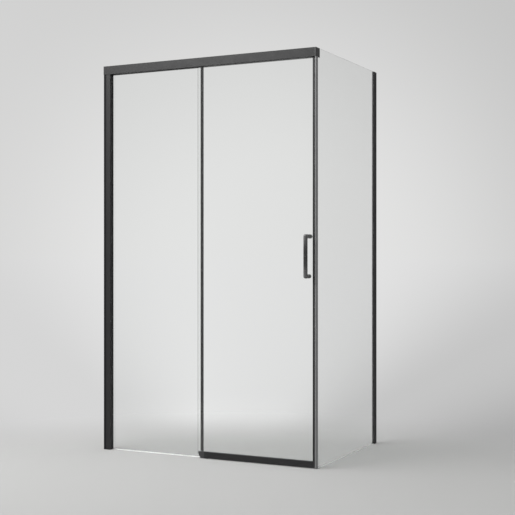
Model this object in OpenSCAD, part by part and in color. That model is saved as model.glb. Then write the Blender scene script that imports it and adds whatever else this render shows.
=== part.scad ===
// Corner shower enclosure: a sliding door hung from a box rail, a fixed panel and a glass side panel.
// Millimetres. X runs along the front to the right, Y from the front to the back wall, Z up from the floor.
// The side wall is at the left, the back wall at the back, and the corner post at the front right.
// Sections are drawn with depth 0 at the front face of the rail; from_front() puts them in place.

/* [Enclosure] */
// Width of the front, from the side wall to the outside of the corner post
enclosure_w = 1210; // [1100:5:1400]
// Depth of the side panel, from the front of the rail to the back wall
enclosure_d = 820; // [700:5:1000]
// Height of the enclosure
enclosure_h = 2000; // [1900:5:2100]
// Height of the seals that the fixed panes stand on
floor_seal_h = 4; // [3:0.5:8]

/* [Glass] */
// Thickness of every pane
glass_t = 6; // [5:1:8]
// Width of the fixed panel, from the side wall to its free edge
fixed_w = 582; // [520:1:620]
// How far the door reaches past the free edge of the fixed panel when it is shut
overlap = 22; // [12:1:30]

/* [Rail] */
// Height of the rail
rail_h = 44; // [42:1:60]
// Distance from the middle of the fixed pane to the back of the rail
rail_back = 16; // [12:0.5:24]
// Thickness of the rail's outer walls
rail_wall = 2; // [1.6:0.1:2.4]
// Thickness of the rail's inner webs
rail_web = 1.7; // [1.2:0.1:2.5]
// Radius of the rail's long edges
rail_edge_r = 1; // [0.4:0.1:1.4]
// Height of the beads that the rollers run on
bead_h = 1.5; // [1.2:0.1:2]
// Width of the beads
bead_w = 1.5; // [1:0.1:1.8]
// Height of the pocket that takes the top of the fixed pane
pocket_h = 22; // [16:1:26]
// Thickness of the gaskets beside the pane in the pocket
rail_gasket_t = 1.3; // [1:0.1:2]
// Thickness of the cap at the wall end of the rail
wall_cap_t = 2; // [1.5:0.1:4]
// How far the end pieces plug into the rail
plug_len = 20; // [12:1:30]

/* [Rollers] */
// Running radius of a roller
wheel_r = 15; // [13:0.5:16]
// Width of a roller
wheel_w = 3.7; // [3.4:0.1:5]
// Height of a roller's rims beside its groove
wheel_rim = 1; // [0.6:0.1:1.1]
// Radius of an axle
axle_r = 2.5; // [2:0.1:3]
// Wall of the bushes that the axles turn in
bush_wall = 1; // [0.8:0.1:1.4]
// Thickness of a bush's flange
bush_flange_t = 0.7; // [0.5:0.1:0.8]
// Distance between the carriage and a roller
wheel_spacer = 1; // [1:0.1:2]
// Length of a carriage
carriage_len = 80; // [72:1:100]
// Distance between the two axles of a carriage
axle_spacing = 52; // [44:1:56]
// Distance from the door's edge to the middle of a carriage
carriage_inset = 90; // [70:1:140]
// Thickness of the carriage's jaws beside the glass
jaw_t = 2; // [1.8:0.1:3]
// Height of the carriage above its axles
carriage_over = 8; // [6:0.5:10]
// Glass between the axles and the top edge of the door
axle_over_glass = 3; // [2:0.5:5]
// Length of a track stop
stop_len = 16; // [12:1:24]
// Thickness of the pads on the track stops
min_pad_t = 3; // [2:0.5:6]

/* [Door] */
// Depth of the bottom profile
bottom_d = 19; // [17:0.5:22]
// Height of the bottom profile
bottom_h = 29.5; // [26:0.5:40]
// Gap between the bottom profile and the floor
bottom_gap = 4; // [2.5:0.5:6]
// Length of the moulded end cap of the bottom profile
end_cap_len = 33; // [20:1:50]
// How far the bottom profile stays behind the door's left edge
bottom_inset = 7; // [3:0.5:14]
// Width of the groove that runs over the floor guide
groove_w = 6; // [5:0.5:8]
// Height of the groove
groove_h = 8.5; // [7:0.5:10]
// Thickness of the gasket beside the glass in the bottom profile
bottom_gasket_t = 1.5; // [1:0.1:2]
// Width of the closing profile on the door's right edge
closing_w = 9; // [7:0.5:12]
// Thickness of the closing profile's walls beside the glass
closing_wall = 2; // [1.6:0.1:2.2]
// Thickness of the closing profile's web
closing_web = 1.6; // [1.2:0.1:2]
// How far each magnet strip stands out
magnet_t = 1.3; // [0.8:0.1:2]
// Gap between the magnet strips when the door is shut
magnet_gap = 0.4; // [0.2:0.1:1]

/* [Handle and knob] */
// Height of the handle's middle above the floor
handle_z = 1007.5; // [900:0.5:1100]
// Distance between the handle's fixings
handle_centres = 190; // [150:1:300]
// How far the handle stands out from the glass
handle_out = 49; // [40:1:60]
// Diameter of the handle bar, the knob and the cap
handle_d = 20; // [16:0.5:22]
// Distance from the closing profile's outer face to the middle of the handle
handle_inset = 30; // [22:0.5:60]
// How far the knob on the inside stands out from the glass
knob_out = 19; // [14:0.5:40]
// How far the cap over the lower fixing stands out from the glass
cap_out = 4; // [3.5:0.5:8]
// Thickness of the washers between the glass and the metal on it
washer_t = 1; // [0.5:0.1:2]
// Radius of the threaded studs that hold the handle through the glass
stud_r = 3; // [2:0.5:3]
// How far a stud reaches out into the handle
stud_reach = 18; // [10:1:20]

/* [Wall profiles] */
// How far the front wall profile lies behind the rail's front
front_profile_inset = 1; // [0:0.5:6]
// How far the front wall profile reaches from the side wall
front_profile_w = 41; // [38:1:50]
// Thickness of the front wall profile's walls
front_profile_wall = 1.6; // [1.2:0.1:1.8]
// Thickness of the gaskets in the front wall profile
front_gasket_t = 1.4; // [1:0.1:2]
// Thickness of the side panel's wall profile, seen from the front
side_profile_t = 15; // [14:0.5:20]
// How far the side panel's wall profile reaches from the back wall
side_profile_d = 44; // [33:1:45]
// Thickness of the side panel's profile walls
side_profile_wall = 1.2; // [1:0.1:1.4]
// Width of the front wall channel that stays in sight beside the wall
front_channel_shown = 15; // [8:1:16]
// Width of the side panel's wall channel that stays in sight beside the wall
side_channel_shown = 12; // [6:1:13]
// Depth that the panes reach into their wall profiles
glass_grip = 12; // [8:1:14]
// Clearance between a wall channel and the profile that slides over it
slide_gap = 0.4; // [0.2:0.1:0.8]
// Height of the lowest and highest wall screw from the ends of a profile
wall_screw_inset = 150; // [100:10:300]
// Radius of the holes for the wall screws
wall_hole_r = 2.75; // [2:0.25:3.5]
// Radius of the screws that join a profile to its channel
profile_screw_r = 1.75; // [1.5:0.25:2]

/* [Corner and edges] */
// Depth of the corner post
post_d = 18; // [17:0.5:26]
// How far the corner post lies behind the rail's front
post_inset = 2; // [0:0.5:4]
// Thickness of the post's walls beside the glass
post_wall = 2; // [1.6:0.1:3]
// Depth of the post in front of the glass
post_nose = 6; // [5.5:0.5:8]
// Radius of the post's front edges
post_edge_r = 3.5; // [0.8:0.1:3.6]
// Width of the edge strip on the fixed pane
strip_w = 9; // [7:0.5:14]
// Thickness of the edge strip's walls beside the glass
strip_wall = 2; // [1.2:0.1:2.5]
// Thickness of the edge strip's web
strip_web = 1.5; // [1:0.1:2]
// How far the door buffer stands out from the wall profile
buffer_out = 5; // [3:0.5:10]
// Radius of the door buffer
buffer_r = 6; // [4:0.5:7]
// Distance from the rail down to the door buffer
buffer_drop = 39; // [20:1:100]
// Length of the floor guide
guide_len = 44; // [38:1:60]
// Thickness of the floor guide's base
guide_base_t = 2; // [1.2:0.1:2.2]
// Clearance between the floor guide's fin and the groove
guide_gap = 0.5; // [0.2:0.1:1]

/* [Hidden] */
$fn = 48;
// A hair's breadth of overlap, and how far a cut reaches past the face that it starts from
EPS = 0.01;
CUT = 1;

// Clearances
fit_gap = 0.05;
seat_gap = 0.1;
loose_gap = 0.2;
plug_gap = 0.1;
wheel_side_gap = 0.3;
slot_gap = 0.8;
pass_gap = 1.5;
stop_gap = 1;
notch_gap = 1;
pane_gap = 1;
tip_gap = 1;
channel_gap = 1;
gasket_inset = 0.5;

// Planes of the panes, as depths behind the rail's front
carriage_w = glass_t + 2 * jaw_t;
slot_half = carriage_w / 2 + slot_gap;
door_plane = rail_wall + wheel_side_gap + wheel_w + wheel_spacer + carriage_w / 2;
chamber_back = 2 * door_plane - rail_wall;
strip_d = glass_t + 2 * strip_wall;
pocket_half = glass_t / 2 + rail_gasket_t;
fixed_plane = max(
    chamber_back + rail_web + pocket_half,
    door_plane + bottom_d / 2 + pass_gap + strip_d / 2
);
rail_d = fixed_plane + rail_back;
door_front = door_plane - glass_t / 2;
door_back = door_plane + glass_t / 2;

// The front lies so that the origin is in the middle of the whole, with the outer handle
handle_reach = handle_out - door_front;
front_y = (handle_reach - enclosure_d) / 2;

// Places along the front
wall_x = -enclosure_w / 2;
outer_x = enclosure_w / 2;
post_w = glass_t + 2 * post_wall;
post_x = outer_x - post_w;
side_x = outer_x - post_w / 2;
profile_x = wall_x + front_profile_w;
strip_right = wall_x + fixed_w;
strip_left = strip_right - strip_w;
fixed_right = strip_right - strip_web;
fixed_left = profile_x - glass_grip;
closing_right = post_x - magnet_gap - 2 * magnet_t;
door_right = closing_right - closing_web;
door_left = strip_right - overlap;
handle_x = closing_right - handle_inset;
handle_r = handle_d / 2;

// The open door stops short of the buffer, and its inner knob short of the fixed panel's edge strip
door_travel = min(door_left - profile_x - buffer_out, handle_x - handle_r - strip_right) - stop_gap;

// Heights
rail_z = enclosure_h - rail_h;
wheel_z = rail_z + rail_wall + bead_h + seat_gap + wheel_r;
door_top = wheel_z - axle_r - axle_over_glass;
pocket_room = 4;
fixed_top = rail_z + pocket_h - pocket_room;
jaw_rise = 1;
jaw_bottom = rail_z + jaw_rise;
clamp_z = (jaw_bottom + door_top) / 2;

// Rollers and carriages
wheel_mid = rail_wall + wheel_side_gap + wheel_w / 2;
groove_gap = 0.3;
carriage_x = [door_left + carriage_inset, door_right - carriage_inset];
axle_x = [for (c = carriage_x, side = [-1, 1]) c + side * axle_spacing / 2];
bush_r = axle_r + fit_gap + bush_wall;
bush_len = 4;
bush_flange = 1;
clamp_screw_r = 2;
clamp_head_r = 3.7;
clamp_head_t = 1.7;
clamp_spacing = 50;
glass_hole_r = 4;
carriage_slope = 4;

// Track stops
wheel_reach = axle_spacing / 2 + wheel_r + wheel_rim;
stop_reach = max(carriage_len / 2 + min_pad_t, wheel_reach) + stop_gap;
pad_t = stop_reach - stop_gap - carriage_len / 2;
stop_x = [carriage_x[0] - door_travel - stop_reach - stop_len, carriage_x[1] + stop_reach];
stop_room = 6;
stop_top = enclosure_h - rail_wall - stop_room;
stop_screw_rise = 3;
stop_screw_z = door_top + stop_screw_rise;

// Bottom profile of the door
bottom_top = bottom_gap + bottom_h;
groove_top = bottom_gap + groove_h;
bottom_web = 2;
door_seat = 2;
bottom_pocket = groove_top + bottom_web;
door_bottom = bottom_pocket + door_seat;
bottom_left = door_left + bottom_inset;
bar_left = bottom_left + end_cap_len;
bar_right = door_right + plug_gap;
bottom_edge_r = 1.2;
cap_cut = 12;
bottom_skin = 1.4;

// Closing side
closing_d = glass_t + 2 * closing_wall;
magnet_w = 6;
magnet_end_gap = 4;
magnet_top = rail_z - magnet_end_gap;
post_skin = 1.4;
tenon_len = 25;

// Lip seal between the fixed panel and the door
lip_inset = 1.5;
lip_t = 1.5;
lip_foot_t = 1;
lip_tip_t = 0.5;
lip_lean = 0.5;
lip_end_gap = 3;

// Handle and knob
knob_floor = 1;
knob_edge_r = 1.5;
stud_end_gap = 0.5;
handle_hole_r = 5;
washer_r = handle_r - 0.5;
handle_rise = handle_centres / 2;

// Front wall profile
front_back = fixed_plane + glass_t / 2 + front_gasket_t + front_profile_wall;
front_web = front_profile_w - glass_grip - pane_gap - front_profile_wall;
front_pocket = fixed_plane - glass_t / 2 - front_gasket_t;
front_screw_x = wall_x + (front_channel_shown + front_web) / 2;
channel_wall = 1.6;
channel_base_t = 1.8;
profile_edge_r = 0.8;
plug_h = 20;
plug_floor = 1;
buffer_stem = front_profile_wall + 2;
buffer_stem_r = buffer_r / 3;

// Side panel's wall profile, with distances measured from the back wall
side_web = side_profile_d - glass_grip - pane_gap - side_profile_wall;
side_screw_y = enclosure_d - (side_channel_shown + side_web) / 2;
side_channel_wall = 1.2;
side_outer_gasket = post_wall - side_profile_wall;
side_inner_gasket = 1.2;
side_front = post_inset + post_nose;
side_back = enclosure_d - side_profile_d + glass_grip;

// Screws
pan_head_r = 4;
pan_head_t = 2.2;
profile_screw_len = 8;
profile_screw_inset = 200;
profile_screws = 3;
wall_screws = 4;
clamp_block_h = 12;
clamp_block_len = 16;
clamp_block_x = (wall_x + front_web + profile_x) / 2;
rail_screw_r = 2.5;
rail_head_r = 4.25;
rail_head_t = 5;
end_screw_pitch = 18;
end_screw_z = [for (side = [-1, 1]) rail_z + (rail_h + side * end_screw_pitch) / 2];
end_screw_x = [wall_x + wall_cap_t + plug_len / 2, post_x - plug_len / 2];

// Floor guide
guide_offset = 13;
guide_x = strip_right + guide_offset;
guide_d = 16;
guide_fin_len = 20;
guide_fin_h = 8;
guide_hole_r = 2;
guide_hole_inset = 5;
guide_hole_pitch = guide_len - 2 * guide_hole_inset;

module from_front() {
    translate([0, front_y, 0]) children();
}

// A section drawn as depth and height, drawn out along X
module along_x(x0, x1) {
    translate([x0, 0, 0]) rotate([90, 0, 90]) linear_extrude(x1 - x0) children();
}

// A round bar along Y, from one depth to another
module pin_y(x, y0, y1, z, r) {
    translate([x, y0, z]) rotate([-90, 0, 0]) cylinder(h = y1 - y0, r = r);
}

// A block between two corners
module block(low, high) {
    translate(low) cube(high - low);
}

// A rectangle between two corners
module rect(low, high) {
    translate(low) square(high - low);
}

// A rectangle with rounded corners
module soft_rect(low, high, r) {
    rect([low.x + r, low.y], [high.x - r, high.y]);
    rect([low.x, low.y + r], [high.x, high.y - r]);
    for (x = [low.x + r, high.x - r], y = [low.y + r, high.y - r]) {
        translate([x, y]) circle(r);
    }
}

// Heights of a row of screws that starts and ends at an inset from both ends
function screw_row(height, inset, count) =
    [for (i = [0:count - 1]) inset + i * (height - 2 * inset) / (count - 1)];

function wall_screw_z(height) = screw_row(height, wall_screw_inset, wall_screws);

function profile_screw_z(height) = screw_row(height, profile_screw_inset, profile_screws);

// Side wall: channel, profile and their gaskets and screws

module front_wall_channel() {
    low = front_profile_inset + front_profile_wall + slide_gap;
    high = front_back - front_profile_wall - slide_gap;
    leg = wall_x + front_web - channel_gap;
    color("#1c1c1d") from_front() difference() {
        linear_extrude(rail_z) {
            rect([wall_x, low], [wall_x + channel_base_t, high]);
            rect([wall_x, low], [leg, low + channel_wall]);
            rect([wall_x, high - channel_wall], [leg, high]);
        }
        for (z = wall_screw_z(rail_z)) {
            translate([wall_x - CUT, (low + high) / 2, z]) rotate([0, 90, 0])
                cylinder(h = channel_base_t + 2 * CUT, r = wall_hole_r);
        }
        for (z = profile_screw_z(rail_z)) {
            pin_y(front_screw_x, high - channel_wall - CUT, high + CUT, z, profile_screw_r + fit_gap);
        }
    }
}

module front_wall_profile() {
    wall = front_profile_wall;
    left = wall_x + front_channel_shown;
    web = wall_x + front_web;
    color("#2b2b2c") from_front() difference() {
        linear_extrude(rail_z) difference() {
            soft_rect([left, front_profile_inset], [profile_x, front_back], profile_edge_r);
            rect([left - CUT, front_profile_inset + wall], [web, front_back - wall]);
            rect([web + wall, front_profile_inset + wall], [profile_x - wall, front_pocket - wall]);
            rect([web + wall, front_pocket], [profile_x + CUT, front_back - wall]);
        }
        for (z = profile_screw_z(rail_z)) {
            pin_y(front_screw_x, front_back - wall - CUT, front_back + CUT, z, profile_screw_r + fit_gap);
        }
        translate([profile_x - wall - CUT, door_plane, rail_z - buffer_drop]) rotate([0, 90, 0])
            cylinder(h = wall + 2 * CUT, r = buffer_stem_r + fit_gap);
    }
}

module front_profile_gasket() {
    front = fixed_plane - glass_t / 2;
    back = fixed_plane + glass_t / 2;
    right = profile_x - gasket_inset;
    color("#202022") from_front() linear_extrude(rail_z) {
        rect([fixed_left, front - front_gasket_t], [right, front]);
        rect([fixed_left, back], [right, back + front_gasket_t]);
    }
}

module front_profile_screws() {
    color("#8d8f92") from_front() for (z = profile_screw_z(rail_z)) {
        pin_y(front_screw_x, front_back - profile_screw_len, front_back, z, profile_screw_r);
        pin_y(front_screw_x, front_back, front_back + pan_head_t, z, pan_head_r);
    }
}

module door_buffer() {
    place = [profile_x, door_plane, rail_z - buffer_drop];
    color("#1a1a1a") from_front() translate(place) rotate([0, 90, 0]) {
        cylinder(h = buffer_out, r = buffer_r);
        translate([0, 0, -buffer_stem]) cylinder(h = buffer_stem + EPS, r = buffer_stem_r);
    }
}

// Top rail and what is fixed in it

module rail_section() {
    pocket = [fixed_plane - pocket_half, fixed_plane + pocket_half];
    difference() {
        soft_rect([0, 0], [rail_d, rail_h], rail_edge_r);
        rect([rail_wall, rail_wall], [chamber_back, rail_h - rail_wall]);
        rect([door_plane - slot_half, -CUT], [door_plane + slot_half, rail_wall + CUT]);
        rect([pocket[0], -CUT], [pocket[1], pocket_h]);
        rect([pocket[0], pocket_h + rail_web], [pocket[1], rail_h - rail_wall]);
        rect([pocket[1] + rail_web, rail_wall], [rail_d - rail_wall, rail_h - rail_wall]);
    }
    for (y = [wheel_mid, 2 * door_plane - wheel_mid]) {
        rect([y - bead_w / 2, rail_wall - EPS], [y + bead_w / 2, rail_wall + bead_h]);
    }
}

module top_rail() {
    color("#323233") from_front() difference() {
        along_x(wall_x + wall_cap_t, post_x) translate([0, rail_z]) rail_section();
        for (z = end_screw_z, x = end_screw_x) {
            pin_y(x, rail_d - rail_wall - CUT, rail_d + CUT, z, profile_screw_r + fit_gap);
        }
    }
}

// A plug for the chamber at the back of the rail, with blind holes for its screws
module rail_plug(x0, x1) {
    difference() {
        block(
            [x0, fixed_plane + pocket_half + rail_web + plug_gap, rail_z + rail_wall + plug_gap],
            [x1, rail_d - rail_wall - plug_gap, enclosure_h - rail_wall - plug_gap]
        );
        for (z = end_screw_z) {
            pin_y(
                (x0 + x1) / 2, rail_d - profile_screw_len - tip_gap, rail_d,
                z, profile_screw_r + fit_gap
            );
        }
    }
}

module rail_wall_cap() {
    color("#242425") from_front() {
        along_x(wall_x, wall_x + wall_cap_t) translate([0, rail_z])
            soft_rect([0, 0], [rail_d, rail_h], rail_edge_r);
        rail_plug(wall_x + wall_cap_t, wall_x + wall_cap_t + plug_len);
    }
}

module rail_end_screws() {
    color("#8d8f92") from_front()
        for (z = end_screw_z, x = end_screw_x) {
            pin_y(x, rail_d - profile_screw_len, rail_d, z, profile_screw_r);
            pin_y(x, rail_d, rail_d + pan_head_t, z, pan_head_r);
        }
}

module rail_clamp_block() {
    low = rail_z + rail_wall + bead_h;
    half = clamp_block_len / 2;
    color("#9b9da0") from_front() difference() {
        block(
            [clamp_block_x - half, rail_wall + wheel_side_gap, low],
            [clamp_block_x + half, chamber_back - wheel_side_gap, low + clamp_block_h]
        );
        translate([clamp_block_x, door_plane, low - CUT])
            cylinder(h = clamp_block_h + 2 * CUT, r = rail_screw_r + plug_gap);
    }
}

module rail_clamp_screw() {
    top = rail_z + rail_wall + bead_h + clamp_block_h;
    tip = rail_z - plug_h + plug_floor + tip_gap;
    color("#8d8f92") from_front() translate([clamp_block_x, door_plane, 0]) {
        translate([0, 0, top]) cylinder(h = rail_head_t, r = rail_head_r);
        translate([0, 0, tip]) cylinder(h = top - tip, r = rail_screw_r);
    }
}

module front_profile_plug() {
    left = wall_x + front_web + front_profile_wall + plug_gap;
    right = profile_x - front_profile_wall - plug_gap;
    front = front_profile_inset + front_profile_wall + plug_gap;
    color("#e8e6df") from_front() difference() {
        block(
            [left, front, rail_z - plug_h],
            [right, front_pocket - front_profile_wall - plug_gap, rail_z]
        );
        translate([clamp_block_x, door_plane, rail_z - plug_h + plug_floor])
            cylinder(h = plug_h, r = rail_screw_r + fit_gap);
    }
}

module rail_gasket() {
    front = fixed_plane - glass_t / 2;
    back = fixed_plane + glass_t / 2;
    color("#202022") from_front() along_x(profile_x, strip_left) {
        rect([front - rail_gasket_t, rail_z], [front, fixed_top]);
        rect([back, rail_z], [back + rail_gasket_t, fixed_top]);
    }
}

module rail_cover_strip() {
    left = fixed_plane - pocket_half + plug_gap;
    right = fixed_plane + pocket_half - plug_gap;
    top = rail_z + pocket_h / 2;
    skin = 1.2;
    color("#2b2b2c") from_front() along_x(strip_right, post_x) difference() {
        rect([left, rail_z], [right, top]);
        rect([left + skin, rail_z + skin], [right - skin, top + CUT]);
    }
}

// The stops stand beyond the carriages and their rollers at both ends of the door's travel.
// They straddle the top edge of the door, and a screw in each jams it under the roof of the rail.

module track_stops() {
    color("#9b9da0") from_front() for (x = stop_x) difference() {
        block(
            [x, rail_wall + wheel_side_gap, rail_z + rail_wall + bead_h],
            [x + stop_len, chamber_back - wheel_side_gap, stop_top]
        );
        block(
            [x - CUT, door_front - slot_gap, rail_z],
            [x + stop_len + CUT, door_back + slot_gap, door_top + slot_gap]
        );
        translate([x + stop_len / 2, door_plane, stop_screw_z])
            cylinder(h = rail_h, r = rail_screw_r + fit_gap);
    }
}

module track_stop_pads() {
    color("#1a1a1a") from_front() for (x = [stop_x[0] + stop_len, stop_x[1] - pad_t]) {
        block(
            [x, door_plane - carriage_w / 2, door_top + slot_gap],
            [x + pad_t, door_plane + carriage_w / 2, wheel_z + carriage_over - carriage_slope]
        );
    }
}

module track_stop_screws() {
    color("#8d8f92") from_front() for (x = stop_x) {
        translate([x + stop_len / 2, door_plane, stop_screw_z])
            cylinder(h = enclosure_h - rail_wall - stop_screw_z, r = rail_screw_r);
    }
}

// Corner: connector, post and the magnet strip on it

module corner_connector() {
    side = post_wall + plug_gap;
    color("#2a2a2b") from_front() {
        along_x(post_x, outer_x) translate([0, rail_z]) soft_rect([0, 0], [rail_d, rail_h], rail_edge_r);
        rail_plug(post_x - plug_len, post_x);
        block(
            [post_x + side, post_inset + post_skin + plug_gap, rail_z - tenon_len],
            [outer_x - side, post_inset + post_nose - post_skin - plug_gap, rail_z + EPS]
        );
    }
}

module corner_post() {
    color("#454547") from_front() linear_extrude(rail_z) difference() {
        union() {
            soft_rect([post_x, post_inset], [outer_x, side_front + post_edge_r], post_edge_r);
            soft_rect([post_x, side_front - post_edge_r], [outer_x, post_inset + post_d], profile_edge_r);
        }
        rect(
            [post_x + post_wall, post_inset + post_skin],
            [outer_x - post_wall, post_inset + post_nose - post_skin]
        );
        rect([post_x + post_wall, side_front], [outer_x - post_wall, post_inset + post_d + CUT]);
    }
}

module post_magnet_strip() {
    color("#1d1d1f") from_front() block(
        [post_x - magnet_t, door_plane - magnet_w / 2, bottom_top],
        [post_x, door_plane + magnet_w / 2, magnet_top]
    );
}

// Fixed panel

module fixed_glass() {
    color("#dfe9e8", 0.35) from_front() block(
        [fixed_left, fixed_plane - glass_t / 2, floor_seal_h],
        [fixed_right, fixed_plane + glass_t / 2, fixed_top]
    );
}

module fixed_edge_strip() {
    color("#2a2a2b") from_front() linear_extrude(rail_z) difference() {
        soft_rect(
            [strip_left, fixed_plane - strip_d / 2],
            [strip_right, fixed_plane + strip_d / 2],
            profile_edge_r / 2
        );
        rect([strip_left - CUT, fixed_plane - glass_t / 2], [fixed_right, fixed_plane + glass_t / 2]);
    }
}

module overlap_lip_seal() {
    root = fixed_plane - strip_d / 2;
    tip = door_back + wheel_side_gap;
    foot = root - lip_foot_t;
    left = strip_left + lip_inset;
    right = left + 3 * lip_t;
    tip_x = left - lip_lean;
    color("#26262a") from_front() translate([0, 0, bottom_top + lip_end_gap])
        linear_extrude(rail_z - bottom_top - 2 * lip_end_gap) polygon([
            [left, root],
            [left, foot],
            [left + lip_t, foot],
            [tip_x, tip + lip_tip_t],
            [tip_x + lip_tip_t, tip],
            [right - lip_t, foot],
            [right, foot],
            [right, root]
        ]);
}

module fixed_floor_seal() {
    color("#c9cccb") from_front() block(
        [fixed_left, fixed_plane - glass_t / 2, 0],
        [fixed_right, fixed_plane + glass_t / 2, floor_seal_h]
    );
}

// Side panel

module side_glass() {
    color("#dfe9e8", 0.35) from_front() difference() {
        block(
            [side_x - glass_t / 2, side_front, floor_seal_h],
            [side_x + glass_t / 2, side_back, enclosure_h]
        );
        block(
            [side_x - glass_t, 0, rail_z - notch_gap],
            [side_x + glass_t, rail_d + notch_gap, enclosure_h + CUT]
        );
    }
}

module side_floor_seal() {
    color("#c9cccb") from_front() block(
        [side_x - glass_t / 2, side_front, 0],
        [side_x + glass_t / 2, side_back, floor_seal_h]
    );
}

module side_notch_gasket() {
    color("#202022") from_front() along_x(side_x - glass_t / 2, side_x + glass_t / 2) {
        rect([side_front, rail_z - notch_gap], [rail_d + notch_gap, rail_z]);
        rect([rail_d, rail_z - EPS], [rail_d + notch_gap, enclosure_h]);
    }
}

module side_wall_channel() {
    left = outer_x - side_profile_t + side_profile_wall + loose_gap;
    right = outer_x - side_profile_wall - loose_gap;
    front = enclosure_d - side_web + channel_gap;
    color("#1c1c1d") from_front() difference() {
        linear_extrude(enclosure_h) {
            rect([left, enclosure_d - channel_base_t], [right, enclosure_d]);
            rect([left, front], [left + side_channel_wall, enclosure_d]);
            rect([right - side_channel_wall, front], [right, enclosure_d]);
        }
        for (z = wall_screw_z(enclosure_h)) {
            pin_y(
                (left + right) / 2, enclosure_d - channel_base_t - CUT, enclosure_d + CUT,
                z, wall_hole_r
            );
        }
        for (z = profile_screw_z(enclosure_h)) {
            translate([left - CUT, side_screw_y, z]) rotate([0, 90, 0])
                cylinder(h = side_channel_wall + 2 * CUT, r = profile_screw_r + fit_gap);
        }
    }
}

module side_wall_profile() {
    wall = side_profile_wall;
    left = outer_x - side_profile_t;
    inner = side_x - glass_t / 2 - side_inner_gasket;
    front = enclosure_d - side_profile_d;
    web = enclosure_d - side_web;
    color("#303031") from_front() difference() {
        linear_extrude(enclosure_h) difference() {
            soft_rect([left, front], [outer_x, enclosure_d - side_channel_shown], profile_edge_r);
            rect([left + wall, web], [outer_x - wall, enclosure_d]);
            rect([inner, front - CUT], [outer_x - wall, web - wall]);
            rect([left + wall, front + wall], [inner - wall, web - wall]);
        }
        for (z = profile_screw_z(enclosure_h)) {
            translate([left - CUT, side_screw_y, z]) rotate([0, 90, 0])
                cylinder(h = wall + 2 * CUT, r = profile_screw_r + fit_gap);
        }
    }
}

module side_profile_gasket() {
    front = enclosure_d - side_profile_d + gasket_inset;
    left = side_x - glass_t / 2;
    right = side_x + glass_t / 2;
    color("#202022") from_front() linear_extrude(enclosure_h) {
        rect([left - side_inner_gasket, front], [left, side_back]);
        rect([right, front], [right + side_outer_gasket, side_back]);
    }
}

module side_profile_screws() {
    left = outer_x - side_profile_t;
    color("#8d8f92") from_front() for (z = profile_screw_z(enclosure_h)) {
        translate([left, side_screw_y, z]) rotate([0, 90, 0]) {
            cylinder(h = profile_screw_len, r = profile_screw_r);
            translate([0, 0, -pan_head_t]) cylinder(h = pan_head_t, r = pan_head_r);
        }
    }
}

// Floor guide: a fin that stands in the groove of the door's bottom profile

module floor_guide() {
    fin_half = groove_w / 2 - guide_gap;
    fin_top = guide_base_t + guide_fin_h - guide_gap;
    color("#1d1d1f") from_front() difference() {
        union() {
            block(
                [guide_x - guide_len / 2, door_plane - guide_d / 2, 0],
                [guide_x + guide_len / 2, door_plane + guide_d / 2, guide_base_t]
            );
            block(
                [guide_x - guide_fin_len / 2, door_plane - fin_half, 0],
                [guide_x + guide_fin_len / 2, door_plane + fin_half, fin_top]
            );
        }
        for (side = [-1, 1]) {
            translate([guide_x + side * guide_hole_pitch / 2, door_plane, -CUT])
                cylinder(h = guide_base_t + 2 * CUT, r = guide_hole_r);
        }
    }
}

// Door

module door_glass() {
    front = door_front - CUT;
    back = door_back + CUT;
    color("#dfe9e8", 0.35) from_front() difference() {
        block([door_left, door_front, door_bottom], [door_right, door_back, door_top]);
        for (c = carriage_x, side = [-1, 1]) {
            pin_y(c + side * clamp_spacing / 2, front, back, clamp_z, glass_hole_r);
        }
        for (side = [-1, 1]) {
            pin_y(handle_x, front, back, handle_z + side * handle_rise, handle_hole_r);
        }
    }
}

// Outline of the bottom profile, with its glass pocket and its guide groove
module bottom_outline() {
    half = bottom_d / 2;
    pocket = glass_t / 2 + bottom_gasket_t;
    difference() {
        soft_rect([door_plane - half, bottom_gap], [door_plane + half, bottom_top], bottom_edge_r);
        rect([door_plane - pocket, bottom_pocket], [door_plane + pocket, bottom_top + CUT]);
        rect([door_plane - groove_w / 2, bottom_gap - CUT], [door_plane + groove_w / 2, groove_top]);
    }
}

// Hollow chambers beside the pocket and the groove
module bottom_chambers(gap) {
    half = bottom_d / 2;
    inner = max(glass_t / 2 + bottom_gasket_t, groove_w / 2) + bottom_skin;
    for (side = [-1, 1]) {
        near = door_plane + side * (inner + gap);
        far = door_plane + side * (half - bottom_skin - gap);
        rect(
            [min(near, far), bottom_gap + bottom_skin + gap],
            [max(near, far), bottom_top - bottom_skin - gap]
        );
    }
}

module door_bottom_profile() {
    color("#262627") from_front() along_x(bar_left, bar_right) difference() {
        bottom_outline();
        bottom_chambers(0);
    }
}

module door_bottom_gasket() {
    half = glass_t / 2;
    color("#202022") from_front() along_x(bottom_left, door_right) difference() {
        rect(
            [door_plane - half - bottom_gasket_t, bottom_pocket],
            [door_plane + half + bottom_gasket_t, bottom_top]
        );
        rect([door_plane - half, door_bottom], [door_plane + half, bottom_top + CUT]);
    }
}

module door_bottom_end_cap() {
    tongue = 10;
    color("#333334") from_front() difference() {
        union() {
            along_x(bottom_left, bar_left) bottom_outline();
            along_x(bar_left, bar_left + tongue) bottom_chambers(plug_gap);
        }
        // The end slants back from its top to its bottom
        translate([bottom_left, door_plane - bottom_d, 0]) rotate([-90, 0, 0])
            linear_extrude(2 * bottom_d) polygon([
                [-CUT, cap_cut / 4 - bottom_top],
                [0, cap_cut / 4 - bottom_top],
                [cap_cut / 4, -bottom_pocket],
                [cap_cut, -bottom_gap],
                [cap_cut, 0],
                [-CUT, 0]
            ]);
    }
}

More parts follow.
